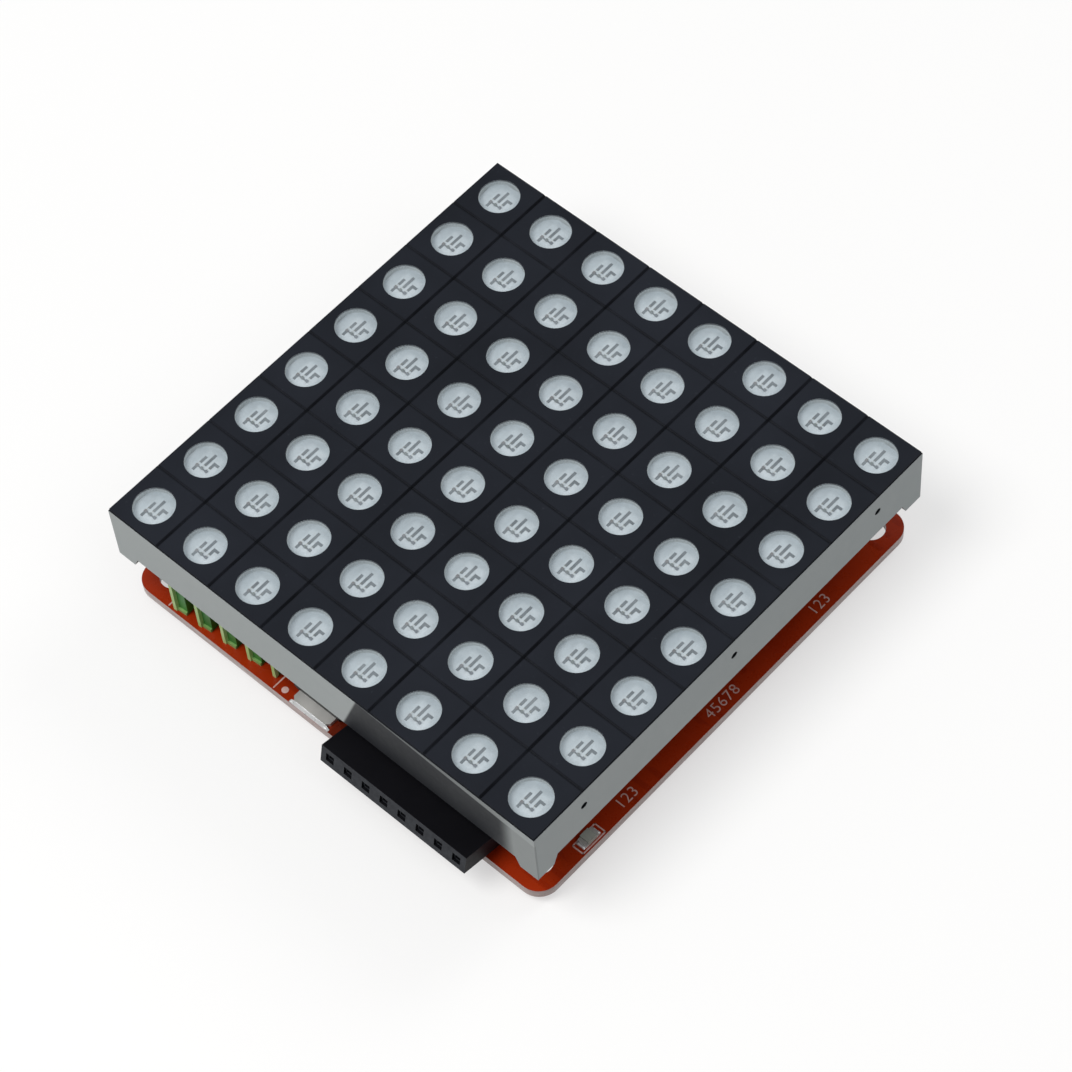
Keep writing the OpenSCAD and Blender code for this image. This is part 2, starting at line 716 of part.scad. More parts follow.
module capacitor_cans() {
    groove_z = 1.4;
    color([0.78, 0.79, 0.8]) for (p = can_pos) translate([p.x, p.y, board_top + 0.5]) difference() {
        cylinder(h = can_h, d = can_d);
        translate([0, 0, groove_z]) rotate_extrude() translate([can_d / 2 + 0.1, 0]) circle(r = 0.35);
    }
}

// A stadium outline, l long and w wide
module stadium(l, w) {
    square([l - w, w], center = true);
    for (s = [-1, 1]) translate([s * (l - w) / 2, 0]) circle(d = w);
}

module crystal_base() {
    color([0.12, 0.12, 0.12]) translate([crystal_pos.x, crystal_pos.y, board_top])
        linear_extrude(height = 0.8) square([crystal_l + 0.6, crystal_w], center = true);
}

module crystal_case() {
    color([0.8, 0.8, 0.8]) translate([crystal_pos.x, crystal_pos.y, board_top + 0.8]) {
        linear_extrude(height = 0.4) stadium(crystal_l, crystal_w);
        linear_extrude(height = crystal_h - 0.8) stadium(crystal_l - 0.8, crystal_w - 0.8);
    }
}

// Places of the chip capacitors: one behind each column driver, one behind and one before the row
// drivers, and two beside the microcontroller
capacitor_places = concat(
    [for (i = [-1, 0, 1]) [sink_x + i * sink_gap, sink_y + (sink_l + chip_l) / 2 + part_space]],
    [[source_x, source_ys[0] + (source_l + chip_l) / 2 + part_space],
     [source_x, source_ys[1] - (source_l + chip_l) / 2 - part_space],
     [mcu_pos.x - mcu_w / 2 - mcu_lead_l - part_space, mcu_pos.y],
     [mcu_pos.x, mcu_pos.y - mcu_w / 2 - mcu_lead_l - part_space]]);
// Places of the chip resistors: one before each column driver and a row behind the capacitors
resistor_places = concat(
    [for (i = [-1, 0, 1]) [sink_x + i * sink_gap, sink_y - sink_l / 2 - part_space]],
    [for (i = [0 : 3]) [sink_x + spread(i, 4, chip_row_gap),
                        sink_y + sink_l / 2 + 2 * (chip_l + part_space)]]);

module chips(places, h, ends) {
    for (p = places) translate([p.x, p.y, board_top]) chip_part(h, ends);
}

module chip_capacitors() {
    color([0.6, 0.5, 0.4]) chips(capacitor_places, 0.9, false);
}

module chip_resistors() {
    color([0.1, 0.1, 0.1]) chips(resistor_places, 0.5, false);
}

module chip_ends() {
    color([0.8, 0.8, 0.8]) {
        chips(capacitor_places, 0.9, true);
        chips(resistor_places, 0.5, true);
    }
}

// A cone of solder under the board, round a tail of w by l
module solder_joint(w, l) {
    difference() {
        translate([0, 0, -solder_h]) cylinder(h = solder_h, d1 = solder_d / 2, d2 = solder_d);
        translate([0, 0, -solder_h - cut]) block(w, l, solder_h + 2 * cut);
    }
}

module solder_joints() {
    color([0.75, 0.76, 0.78]) {
        for (side = [-1, 1]) each_pin(side) solder_joint(contact_w, tail_t);
        each_header_tail() solder_joint(contact_w, tail_t);
        on_terminal() each_pole() translate([0, 0, -board_t]) scale([1.3, 1.3, 1])
            solder_joint(term_pin_w / 1.3, term_pin_w / 1.3);
    }
}

matrix_housing();
face_mask();
led_board();
potting();
led_traces();
led_dice(-1, [0.8, 0.2, 0.15]);  // red_dice
led_dice(0, [0.2, 0.7, 0.3]);  // green_dice
led_dice(1, [0.2, 0.35, 0.8]);  // blue_dice
module_pins(-1);  // module_pins_left
module_pins(1);  // module_pins_right
driver_board();
socket(-1);  // socket_left
socket(1);  // socket_right
socket_contacts(-1);  // socket_contacts_left
socket_contacts(1);  // socket_contacts_right
side_header();
header_contacts();
terminal_block();
terminal_screws();
terminal_clamps();
regulator_body();
regulator_tab();
regulator_leads();
status_led_body();
status_led_ends();
microcontroller();
microcontroller_leads();
column_drivers();
column_driver_leads();
row_drivers();
row_driver_leads();
capacitor_cans();
capacitor_bases();
crystal_case();
crystal_base();
chip_capacitors();
chip_resistors();
chip_ends();
solder_joints();
for (j = [1 : led_count])
    window_row(j);
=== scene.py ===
import bpy
import bmesh
import json
import math
from mathutils import Matrix, Vector


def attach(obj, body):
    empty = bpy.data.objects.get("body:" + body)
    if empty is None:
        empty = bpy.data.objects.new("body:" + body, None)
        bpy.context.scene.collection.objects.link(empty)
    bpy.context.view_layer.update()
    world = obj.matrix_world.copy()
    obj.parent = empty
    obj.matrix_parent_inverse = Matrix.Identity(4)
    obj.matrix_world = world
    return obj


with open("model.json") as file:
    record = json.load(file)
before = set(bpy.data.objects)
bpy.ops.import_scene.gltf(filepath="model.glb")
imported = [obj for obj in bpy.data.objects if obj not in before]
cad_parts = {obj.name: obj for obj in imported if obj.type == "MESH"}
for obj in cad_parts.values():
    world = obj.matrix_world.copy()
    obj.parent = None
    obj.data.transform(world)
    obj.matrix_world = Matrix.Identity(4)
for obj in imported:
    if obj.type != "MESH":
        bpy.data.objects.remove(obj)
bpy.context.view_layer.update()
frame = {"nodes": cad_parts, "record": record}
MM = 0.001


# ---------------------------------------------------------------- sizes shared with part.scad
FACE_Z = 14.95
BOARD_TOP = 1.2
LED_PITCH = 7.62
LED_COUNT = 8
LED_BOARD_TOP = FACE_Z - 0.9
DIMPLE_Z = FACE_Z - 2.95
TERMINAL_CORNER = (-23.55, -29.45)
TERMINAL_SKEW = 3.8
TERMINAL_PITCH = 3.5
FIN_W = 0.45
WALL_Y = -30.1           # outer face of the housing's wall towards -Y
FIELD_LEFT = 5.9         # left edge of the dark field behind the side header
FIELD_RIGHT = 26.6       # where its soft right edge lies
MASK_STEP = 0.35         # depth of the narrow step round the black face
STATUS_LED_Y = -21.3
DIE_ROW_Y = -0.72        # the row of dice, from the middle of its window
DIE_GAP = 0.67


def collection_object(name, mesh):
    """A new object in the scene, of a mesh, camera or light."""
    obj = bpy.data.objects.new(name, mesh)
    bpy.context.scene.collection.objects.link(obj)
    return obj


# ---------------------------------------------------------------- node material helpers
class Shader:
    """A small wrapper that builds one node material."""

    def __init__(self, name):
        self.mat = bpy.data.materials.new(name)
        self.mat.use_nodes = True
        self.tree = self.mat.node_tree
        self.tree.nodes.clear()
        self.out = self.node("ShaderNodeOutputMaterial")
        self.bsdf = self.node("ShaderNodeBsdfPrincipled")
        self.link(self.bsdf.outputs[0], self.out.inputs["Surface"])
        self.where = self.node("ShaderNodeTexCoord").outputs["Object"]

    def node(self, kind, **values):
        n = self.tree.nodes.new(kind)
        for key, value in values.items():
            setattr(n, key, value)
        return n

    def link(self, a, b):
        self.tree.links.new(a, b)

    def put(self, socket, value):
        if hasattr(value, "is_linked") or isinstance(value, bpy.types.NodeSocket):
            self.link(value, socket)
        else:
            socket.default_value = value

    def set(self, **values):
        for key, value in values.items():
            self.put(self.bsdf.inputs[key.replace("_", " ")], value)
        return self

    def stretched(self, scale):
        m = self.node("ShaderNodeMapping")
        self.link(self.where, m.inputs["Vector"])
        m.inputs["Scale"].default_value = scale
        return m.outputs[0]

    def noise(self, scale, detail=3.0, rough=0.5, where=None):
        n = self.node("ShaderNodeTexNoise")
        self.link(where or self.where, n.inputs["Vector"])
        n.inputs["Scale"].default_value = scale
        n.inputs["Detail"].default_value = detail
        n.inputs["Roughness"].default_value = rough
        return n.outputs["Fac"]

    def ramp(self, fac, stops, interpolation="LINEAR"):
        r = self.node("ShaderNodeValToRGB")
        self.put(r.inputs["Fac"], fac)
        r.color_ramp.interpolation = interpolation
        e = r.color_ramp.elements
        while len(e) < len(stops):
            e.new(0.5)
        for i, (place, colour) in enumerate(stops):
            e[i].position = place
            e[i].color = colour if len(colour) == 4 else (*colour, 1)
        return r.outputs["Color"]

    def grey_ramp(self, fac, stops):
        return self.ramp(fac, [(p, (v, v, v)) for p, v in stops])

    def math(self, op, a, b=0.0, clamp=False):
        n = self.node("ShaderNodeMath", operation=op, use_clamp=clamp)
        self.put(n.inputs[0], a)
        self.put(n.inputs[1], b)
        return n.outputs[0]

    def mix(self, fac, a, b):
        n = self.node("ShaderNodeMix", data_type="RGBA")
        self.put(n.inputs["Factor"], fac)
        self.put(n.inputs["A"], a)
        self.put(n.inputs["B"], b)
        return n.outputs["Result"]

    def varied(self, value, amount, base):
        """base + amount * value"""
        return self.math("ADD", self.math("MULTIPLY", value, amount), base)

    def both(self, *masks):
        """1 only where every mask is 1."""
        out = masks[0]
        for mask in masks[1:]:
            out = self.math("MULTIPLY", out, mask)
        return out

    def axis(self, which):
        """Place along X, Y or Z, in metres of the part's frame."""
        s = self.node("ShaderNodeSeparateXYZ")
        self.link(self.where, s.inputs[0])
        return s.outputs[which]

    def normal(self, which):
        """The surface's own direction along X, Y or Z."""
        g = self.node("ShaderNodeTexCoord").outputs["Normal"]
        s = self.node("ShaderNodeSeparateXYZ")
        self.link(g, s.inputs[0])
        return s.outputs[which]

    def bump(self, height, strength=0.2, distance=0.0001):
        b = self.node("ShaderNodeBump")
        self.link(height, b.inputs["Height"])
        b.inputs["Strength"].default_value = strength
        b.inputs["Distance"].default_value = distance
        self.link(b.outputs[0], self.bsdf.inputs["Normal"])
        return self

    def window(self, value, low, high, soft):
        """1 where value is between low and high, falling to 0 over soft on either side."""
        up = self.node("ShaderNodeMapRange", clamp=True, interpolation_type="SMOOTHSTEP")
        self.put(up.inputs["Value"], value)
        up.inputs["From Min"].default_value = low - soft / 2
        up.inputs["From Max"].default_value = low + soft / 2
        down = self.node("ShaderNodeMapRange", clamp=True, interpolation_type="SMOOTHSTEP")
        self.put(down.inputs["Value"], value)
        down.inputs["From Min"].default_value = high - soft / 2
        down.inputs["From Max"].default_value = high + soft / 2
        down.inputs["To Min"].default_value = 1
        down.inputs["To Max"].default_value = 0
        return self.math("MULTIPLY", up.outputs[0], down.outputs[0])


def rgba(r, g, b):
    return (r, g, b, 1.0)


def moulded(name, light, dark, rough, grain=900, strength=0.12):
    """Moulded plastic: faint colour drift, fine grain and small changes in its shine."""
    s = Shader(name)
    drift = s.noise(90, 4, 0.6)
    fine = s.noise(grain * 3, 2, 0.6)
    s.set(Base_Color=s.ramp(drift, [(0.3, dark), (0.7, light)]),
          Roughness=s.varied(s.noise(grain, 3), 0.2, rough - 0.1))
    s.bsdf.inputs["Specular IOR Level"].default_value = 0.4
    return s.bump(fine, strength, 0.00003).mat


def metal(name, light, dark, rough=0.25, stretch=(1, 1, 1), strength=0.1, metallic=1.0):
    """Plated or drawn metal with fine streaks."""
    s = Shader(name)
    streak = s.noise(1500, 4, 0.6, s.stretched(stretch))
    s.set(Base_Color=s.ramp(s.noise(300, 3), [(0.3, dark), (0.7, light)]),
          Roughness=s.varied(streak, 0.25, rough - 0.12))
    s.bsdf.inputs["Metallic"].default_value = metallic
    return s.bump(streak, strength, 0.00002).mat


# ---------------------------------------------------------------- materials of the LED module
def housing_material():
    """Light grey moulding. The wall towards -Y carries a dark, soft-edged field behind the side
    header, which stops short of the wall's top edge and leaves a paler strip above it."""
    s = Shader("white_plastic_walls")
    drift = s.noise(45, 4, 0.55)
    streaks = s.noise(600, 3, 0.6, s.stretched((1, 1, 0.25)))
    base = s.ramp(drift, [(0.25, (0.49, 0.535, 0.54)), (0.75, (0.545, 0.58, 0.58))])
    base = s.mix(s.math("MULTIPLY", streaks, 0.14), base, rgba(0.36, 0.39, 0.40))
    x, y, z = (s.axis(k) for k in range(3))
    # the dark field: a slanting, sharp left edge, a soft right edge and a pale strip above it that
    # widens towards +X
    down = s.math("SUBTRACT", FACE_Z * MM, z)
    slant = s.math("ADD", x, s.math("MULTIPLY", down, 0.38))
    field = s.window(slant, FIELD_LEFT * MM, 60 * MM, 0.35 * MM)
    # painted shade: a faint darkening carries on past the field's soft right edge to the corner at +X
    faint = s.math("MULTIPLY", s.window(x, 24 * MM, 60 * MM, 4 * MM), 0.28)
    right = s.math("MAXIMUM", s.window(x, -60 * MM, FIELD_RIGHT * MM, 3.0 * MM), faint)
    front = s.window(y, -40 * MM, (WALL_Y + 0.2) * MM, 0.05 * MM)
    past = s.math("SUBTRACT", x, FIELD_LEFT * MM)
    below = s.window(s.math("SUBTRACT", down, s.varied(past, 0.05, 0.3 * MM)), 0.0, 1.0, 0.25 * MM)
    thin = s.math("SUBTRACT", 0.80, s.math("MULTIPLY", past, 22.0), True)
    mottle = s.grey_ramp(s.noise(120, 3), [(0.3, 0.965), (0.7, 1.0)])
    dark = s.both(field, right, front, s.math("MAXIMUM", below, thin), mottle)
    colour = s.mix(dark, base, rgba(0.012, 0.0135, 0.018))
    # the narrow step round the black face is black too, and the dimples get painted shade inside
    ring = s.both(s.window(z, (FACE_Z - MASK_STEP) * MM, 1.0, 0.02 * MM),
                  s.math("GREATER_THAN", s.normal(2), 0.5))
    dimple = s.both(s.window(z, (DIMPLE_Z - 0.5) * MM, (DIMPLE_Z + 0.5) * MM, 0.02 * MM),
                    s.window(x, 29.0 * MM, 30.05 * MM, 0.04 * MM),
                    s.window(y, -28 * MM, 28 * MM, 0.1 * MM))
    colour = s.mix(s.math("MAXIMUM", ring, dimple), colour, rgba(0.016, 0.018, 0.023))
    s.set(Base_Color=colour,
          Roughness=s.varied(s.noise(1200, 3), 0.15, 0.42))
    s.bsdf.inputs["Specular IOR Level"].default_value = 0.15
    return s.bump(s.noise(2600, 2, 0.6), 0.12, 0.00003).mat


def mask_material():
    """Bluish black printed face with a fine grain, fine paler dust and painted shade along its
    grooves.
    """
    s = Shader("black_face_print")
    drift = s.noise(60, 5, 0.6)
    base = s.ramp(drift, [(0.3, (0.0130, 0.0150, 0.0200)), (0.7, (0.0190, 0.0218, 0.0295))])
    dust = s.grey_ramp(s.noise(2500, 2, 0.7), [(0.68, 0.0), (0.8, 0.35)])
    colour = s.mix(dust, base, rgba(0.048, 0.055, 0.068))
    # painted shade in the grooves: darker lines between columns, fainter between rows, patchy along
    # their length
    for k, strength in ((0, 0.85), (1, 0.6)):
        cell = s.math("FRACT", s.math("ADD", s.math("DIVIDE", s.axis(k), LED_PITCH * MM), 0.5))
        line = s.window(cell, 0.474, 0.526, 0.012)
        mottle = s.grey_ramp(s.noise(260, 3), [(0.35, 0.55), (0.6, 1.0)])
        colour = s.mix(s.both(line, mottle, strength), colour,
                       rgba(0.0035, 0.0040, 0.0055))
    s.set(Base_Color=colour, Roughness=s.varied(s.noise(900, 4), 0.2, 0.42))
    s.bsdf.inputs["Specular IOR Level"].default_value = 0.05
    return s.bump(s.noise(3200, 3, 0.65), 0.25, 0.00004).mat


def led_centre_distance(s):
    """Place inside the nearest LED's window, in metres: (x, y) from its middle."""
    out = []
    for k in range(2):
        shifted = s.math("ADD", s.axis(k), LED_PITCH * MM * LED_COUNT / 2)
        cell = s.math("FRACT", s.math("DIVIDE", shifted, LED_PITCH * MM))
        out.append(s.math("MULTIPLY", s.math("SUBTRACT", cell, 0.5), LED_PITCH * MM))
    return out


def led_board_material():
    """Pale floor of the windows: cloudy, with a painted highlight round the traces and painted light
    and shade across each window, brighter towards +X, -Y.
    """
    s = Shader("white_laminate_floor")
    dx, dy = led_centre_distance(s)
    # painted light and shade: each window brighter towards +X, -Y and darker towards -X, +Y
    shade_slope = s.math("MULTIPLY", s.math("SUBTRACT", dx, dy), 90.0)
    # painted highlight: brighter round the traces
    trace_highlight = s.both(s.window(dx, -1.05 * MM, 1.35 * MM, 0.5 * MM),
                  s.window(dy, -1.4 * MM, 1.5 * MM, 0.6 * MM))
    cloud = s.math("MULTIPLY", s.math("SUBTRACT", s.noise(420, 4, 0.6), 0.5), 0.9)
    level = s.math("ADD", s.math("ADD", shade_slope, s.varied(trace_highlight, 0.34, 0.36)), cloud)
    colour = s.ramp(level, [(0.0, (0.43, 0.50, 0.55)), (0.45, (0.60, 0.68, 0.73)),
                            (1.0, (0.80, 0.87, 0.92))])
    s.set(Base_Color=colour, Roughness=0.5)
    return s.bump(s.noise(1500, 3), 0.3, 0.00003).mat


def window_material():
    """Clear filling: glossy on top and slightly hazy, with no refraction."""
    s = Shader("clear_epoxy_fill")
    s.set(Base_Color=s.ramp(s.noise(500, 3), [(0.3, (0.50, 0.57, 0.62)), (0.7, (0.62, 0.69, 0.74))]),
          Roughness=s.varied(s.noise(900, 3), 0.12, 0.12),
          Alpha=s.grey_ramp(s.noise(700, 4, 0.6), [(0.3, 0.12), (0.75, 0.26)]))
    return s.bump(s.noise(500, 2), 0.08, 0.0001).mat


# ---------------------------------------------------------------- materials of the driver board
def board_material():
    """Red solder mask over a pale laminate core: glossy, with faint tracks under the mask."""
    s = Shader("red_board_mask")
    drift = s.noise(70, 4, 0.6)
    top = s.ramp(drift, [(0.3, (0.30, 0.020, 0.002)), (0.7, (0.39, 0.031, 0.003))])
    along = s.window(s.math("FRACT", s.math("MULTIPLY", s.axis(1), 1 / (1.9 * MM))), 0.0, 0.35, 0.06)
    lanes = s.window(s.noise(130, 1, 0.4), 0.52, 1.2, 0.02)
    tracks = s.both(along, lanes)
    top = s.mix(s.math("MULTIPLY", tracks, 0.35), top, rgba(0.22, 0.012, 0.002))
    side = s.ramp(s.noise(900, 3, 0.6, s.stretched((0.3, 0.3, 2))),
                  [(0.3, (0.44, 0.31, 0.29)), (0.7, (0.62, 0.50, 0.48))])
    # painted shade: the mask is darker between the regulator and the header
    header_shade = s.both(s.window(s.axis(0), -0.7 * MM, 3.6 * MM, 1.2 * MM),
                   s.window(s.axis(1), -30 * MM, -27 * MM, 0.6 * MM))
    top = s.mix(s.math("MULTIPLY", header_shade, 0.72), top, rgba(0.035, 0.008, 0.004))
    is_side = s.math("LESS_THAN", s.math("ABSOLUTE", s.normal(2)), 0.5)
    s.set(Base_Color=s.mix(is_side, top, side),
          Roughness=s.varied(s.noise(800, 3), 0.12, 0.22))
    s.bsdf.inputs["Specular IOR Level"].default_value = 0.25
    height = s.math("ADD", s.math("MULTIPLY", tracks, 0.6), s.math("MULTIPLY", s.noise(1800, 3), 0.3))
    return s.bump(height, 0.2, 0.00004).mat


def chip_material():
    """Dull black chip body with a coarse grain."""
    s = Shader("chip_epoxy_moulding")
    s.set(Base_Color=s.ramp(s.noise(500, 3), [(0.3, (0.014, 0.014, 0.015)),
                                              (0.7, (0.030, 0.030, 0.032))]),
          Roughness=s.varied(s.noise(2500, 4), 0.3, 0.42))
    return s.bump(s.noise(5000, 3, 0.7), 0.4, 0.00004).mat


def black_plastic_material():
    """Black moulding: dull on top, with painted light on the faces towards -Y that hold the contacts,
    which are lighter than the top.
    """
    s = Shader("black_plastic_moulded")
    drift = s.noise(90, 4, 0.6)
    top = s.ramp(drift, [(0.3, (0.0042, 0.0042, 0.0058)), (0.7, (0.0068, 0.0068, 0.0090))])
    # painted light: the faces towards -Y are lighter than the top
    lit_front_colour = s.ramp(s.noise(1600, 3, 0.6), [(0.3, (0.022, 0.024, 0.030)), (0.7, (0.042, 0.046, 0.054))])
    front = s.math("LESS_THAN", s.normal(1), -0.5)
    s.set(Base_Color=s.mix(front, top, lit_front_colour),
          Roughness=s.varied(s.noise(1500, 3), 0.2, 0.4))
    s.bsdf.inputs["Specular IOR Level"].default_value = 0.12
    return s.bump(s.noise(4500, 2, 0.6), 0.2, 0.00003).mat


def terminal_material():
    """Green moulding with painted light and shade: the narrow fins and the lips are a pale lit green,
    the recessed faces a dark shaded green.
    """
    s = Shader("green_plastic_fins")
    turn = math.radians(TERMINAL_SKEW)
    dx = s.math("SUBTRACT", s.axis(0), TERMINAL_CORNER[0] * MM)
    dy = s.math("SUBTRACT", s.axis(1), TERMINAL_CORNER[1] * MM)
    across = s.math("ADD", s.math("MULTIPLY", dx, math.cos(turn)),
                    s.math("MULTIPLY", dy, math.sin(turn)))
    depth = s.math("SUBTRACT", s.math("MULTIPLY", dy, math.cos(turn)),
                   s.math("MULTIPLY", dx, math.sin(turn)))
    pole = s.math("FRACT", s.math("ADD", s.math("DIVIDE", across, TERMINAL_PITCH * MM), 0.02))
    fin = s.window(s.math("MULTIPLY", pole, TERMINAL_PITCH * MM), -1.0, (FIN_W + 0.1) * MM, 0.06 * MM)
    proud = s.window(depth, -1.0, 0.46 * MM, 0.1 * MM)
    lip = s.both(s.window(s.axis(2), -1.0, (BOARD_TOP + 0.52) * MM, 0.08 * MM),
                 s.window(depth, -1.0, 0.4 * MM, 0.1 * MM))
    # painted light: the fins and the lips take the pale lit green over the dark shaded green
    light = s.math("MAXIMUM", s.both(fin, proud), s.math("MULTIPLY", lip, 0.45))
    base = s.ramp(s.noise(300, 3), [(0.3, (0.026, 0.165, 0.022)), (0.7, (0.046, 0.235, 0.036))])
    pale = s.ramp(s.noise(500, 3), [(0.3, (0.38, 0.60, 0.20)), (0.7, (0.56, 0.75, 0.32))])
    s.set(Base_Color=s.mix(light, base, pale),
          Roughness=s.varied(s.noise(1400, 3), 0.2, 0.32))
    s.bsdf.inputs["Specular IOR Level"].default_value = 0.3
    return s.bump(s.noise(3000, 2), 0.2, 0.00003).mat


STREAKED = {"stretch": (1, 1, 1), "strength": 0.04}
materials = {
    "white_plastic": housing_material(),
    "black_face": mask_material(),
    "clear_epoxy": window_material(),
    "white_laminate": led_board_material(),
    "potting_resin": moulded("potting_resin_cast", (0.60, 0.60, 0.56), (0.48, 0.48, 0.45),
                             0.3, 200, 0.4),
    "trace_metal": moulded("trace_metal_dull", (0.060, 0.078, 0.092), (0.030, 0.042, 0.052), 0.45),
    "red_die": moulded("red_die_chip", (0.135, 0.115, 0.115), (0.085, 0.070, 0.070), 0.3),
    "green_die": moulded("green_die_chip", (0.105, 0.135, 0.125), (0.065, 0.085, 0.080), 0.3),
    "blue_die": moulded("blue_die_chip", (0.105, 0.120, 0.150), (0.065, 0.075, 0.095), 0.3),
    "tinned_metal": metal("tinned_metal_bright", (0.80, 0.80, 0.78), (0.60, 0.60, 0.58), 0.32,
                          metallic=0.45, **STREAKED),
    "red_board": board_material(),
    "black_plastic": black_plastic_material(),
    "contact_metal": metal("contact_metal_plated", (0.80, 0.66, 0.36), (0.55, 0.42, 0.2)),
    "green_plastic": terminal_material(),
    "screw_steel": metal("screw_steel_plated", (0.68, 0.68, 0.66), (0.42, 0.42, 0.41), 0.35),
    "clamp_brass": metal("clamp_brass_plated", (0.62, 0.52, 0.36), (0.36, 0.27, 0.16), 0.35),
    "chip_epoxy": chip_material(),
    "status_lens": moulded("status_lens_resin", (0.40, 0.42, 0.38), (0.26, 0.28, 0.26), 0.16),
    "can_aluminium": metal("can_aluminium_drawn", (0.80, 0.81, 0.82), (0.62, 0.63, 0.64), 0.3,
                           (8, 8, 0.5)),
    "crystal_steel": metal("crystal_steel_drawn", (0.74, 0.74, 0.74), (0.55, 0.55, 0.55)),
    "tan_ceramic": moulded("tan_ceramic_fired", (0.34, 0.22, 0.12), (0.24, 0.15, 0.08), 0.35),
    "black_ceramic": moulded("black_ceramic_glazed", (0.025, 0.025, 0.025), (0.015, 0.015, 0.015),
                             0.3),
    "solder": metal("solder_bright", (0.82, 0.83, 0.84), (0.66, 0.67, 0.68), 0.3, metallic=0.4,
                    **STREAKED),
}

for part in frame["record"]["subparts"]:
    obj = frame["nodes"][part["node"]]
    finish = materials[part["material_slot"]]
    obj.data.materials.clear()
    obj.data.materials.append(finish)
    for poly in obj.data.polygons:
        poly.material_index = 0


# ---------------------------------------------------------------- small printed and soldered pieces
def finish_piece(obj, material):
    obj.data.materials.clear()
    obj.data.materials.append(material)
    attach(obj, "root")
    return obj


def mesh_piece(name, build, material, smooth=False):
    """One mesh piece; build fills a bmesh that is in millimetres."""
    bm = bmesh.new()
    build(bm)
    bmesh.ops.scale(bm, vec=(MM, MM, MM), verts=bm.verts)
    me = bpy.data.meshes.new(name)
    bm.to_mesh(me)
    bm.free()
    if smooth:
        for poly in me.polygons:
            poly.use_smooth = True
    return finish_piece(collection_object(name, me), material)


def add_bar(bm, a, b, width, base, top):
    """A flat bar of ink from a to b, with rounded ends."""
    a, b = Vector((*a, 0)), Vector((*b, 0))
    along = (b - a).normalized()
    start = math.atan2(along.y, along.x)
    ring = []
    for centre, turn in ((b, -90), (a, 90)):
        for k in range(7):
            t = start + math.radians(turn + 30 * k)
            ring.append(centre + Vector((math.cos(t), math.sin(t), 0)) * width / 2)
    low = [bm.verts.new((p.x, p.y, base)) for p in ring]
    high = [bm.verts.new((p.x, p.y, top)) for p in ring]
    bm.faces.new(high)
    bm.faces.new(low[::-1])
    for i in range(len(ring)):
        j = (i + 1) % len(ring)
        bm.faces.new((low[i], low[j], high[j], high[i]))


def add_disc(bm, x, y, radius, base, top, steps=24):
    """A flat printed dot."""
    turns = [2 * math.pi * k / steps for k in range(steps)]
    ring = [(x + radius * math.cos(t), y + radius * math.sin(t)) for t in turns]
    low = [bm.verts.new((px, py, base)) for px, py in ring]
    high = [bm.verts.new((px, py, top)) for px, py in ring]
    bm.faces.new(high)
    bm.faces.new(low[::-1])
    for i in range(steps):
        j = (i + 1) % steps
        bm.faces.new((low[i], low[j], high[j], high[i]))


def ink_material():
    """Printed lines and digits that let some of the red through."""
    s = Shader("board_ink")
    s.set(Base_Color=s.ramp(s.noise(900, 3), [(0.3, (0.52, 0.30, 0.27)), (0.7, (0.74, 0.52, 0.49))]),
          Roughness=s.varied(s.noise(2000, 3), 0.2, 0.35))
    return s.bump(s.noise(3000, 2), 0.15, 0.00002).mat


INK = ink_material()
INK_Z = (BOARD_TOP + 0.002, BOARD_TOP + 0.022)
INK_W = 0.16


def outline(bm, x0, y0, x1, y1, sides):
    """The named sides of a printed rectangle."""
    ends = {"left": ((x0, y0), (x0, y1)), "right": ((x1, y0), (x1, y1)),
            "front": ((x0, y0), (x1, y0)), "rear": ((x0, y1), (x1, y1))}
    for side in sides:
        add_bar(bm, *ends[side], INK_W, *INK_Z)


def board_ink(bm):
    """Outlines round the terminal block, the status LED and the side header, and one dot."""
    outline(bm, -24.3, -29.45, -8.55, -21.3, ("left", "right", "rear"))
    outline(bm, 28.0, -23.0, 29.45, -19.6, ("left", "right", "front", "rear"))
    outline(bm, 1.7, -25.2, 23.1, -22.7, ("left", "right", "rear"))
    add_disc(bm, -7.4, -28.9, 0.4, *INK_Z)


mesh_piece("board_ink", board_ink, INK)


def digits(name, text, x, y, height):
    """Plain numbers printed on the board, read along +Y."""
    curve = bpy.data.curves.new(name, "FONT")
    curve.body = text
    curve.size = height * MM / 0.72
    curve.space_character = 1.08
    curve.align_x = "CENTER"
    curve.align_y = "CENTER"
    curve.offset = -0.012 * MM
    curve.extrude = 0.01 * MM
    curve.resolution_u = 3
    shape = bpy.data.objects.new(name + ".curve", curve)
    bpy.context.scene.collection.objects.link(shape)
    bpy.context.view_layer.update()
    me = bpy.data.meshes.new_from_object(shape.evaluated_get(bpy.context.evaluated_depsgraph_get()))
    bpy.data.objects.remove(shape)
    me.transform(Matrix.Translation((x * MM, y * MM, (BOARD_TOP + 0.012) * MM))
                 @ Matrix.Rotation(math.radians(90), 4, "Z"))
    finish_piece(collection_object(name, me), INK)


digits("board_digits_front", "123", 28.5, -15.2, 1.3)
digits("board_digits_middle", "45678", 28.5, -0.2, 1.3)
digits("board_digits_rear", "123", 28.5, 15.5, 1.3)


